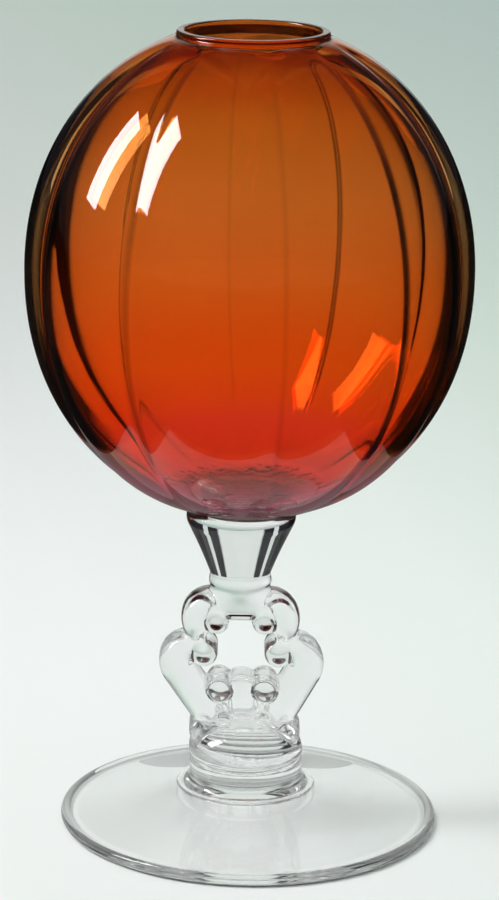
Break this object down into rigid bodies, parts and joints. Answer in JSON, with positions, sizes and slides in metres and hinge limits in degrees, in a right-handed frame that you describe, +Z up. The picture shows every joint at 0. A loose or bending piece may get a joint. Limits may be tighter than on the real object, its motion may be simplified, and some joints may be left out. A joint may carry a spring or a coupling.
{
  "type": "footed vase",
  "caption": "Footed globe vase of blown glass: an amber-to-ruby melon-ribbed bowl with a short collar mouth, on a clear pressed open-scroll stem and a wide round foot that stands flat.",
  "frame": {"origin": "on the table, at the middle of the part's box, straight under the axis of the bowl", "axes": "+Z up along the axis of the bowl, X across the open side of the stem, -Y towards the viewer who looks through the keyhole"},
  "size_m": [0.111, 0.1099, 0.203],
  "materials": {
    "clear_glass": "fire-polished clear glass, faintly grey-green",
    "amber_glass": "fire-polished glass, amber at the mouth through orange to ruby at the base"
  },
  "bodies": {
    "root": {"foot": "clear_glass", "foot_wafer": "clear_glass", "stem": "clear_glass", "bowl": "amber_glass"}
  },
  "joints": []
}
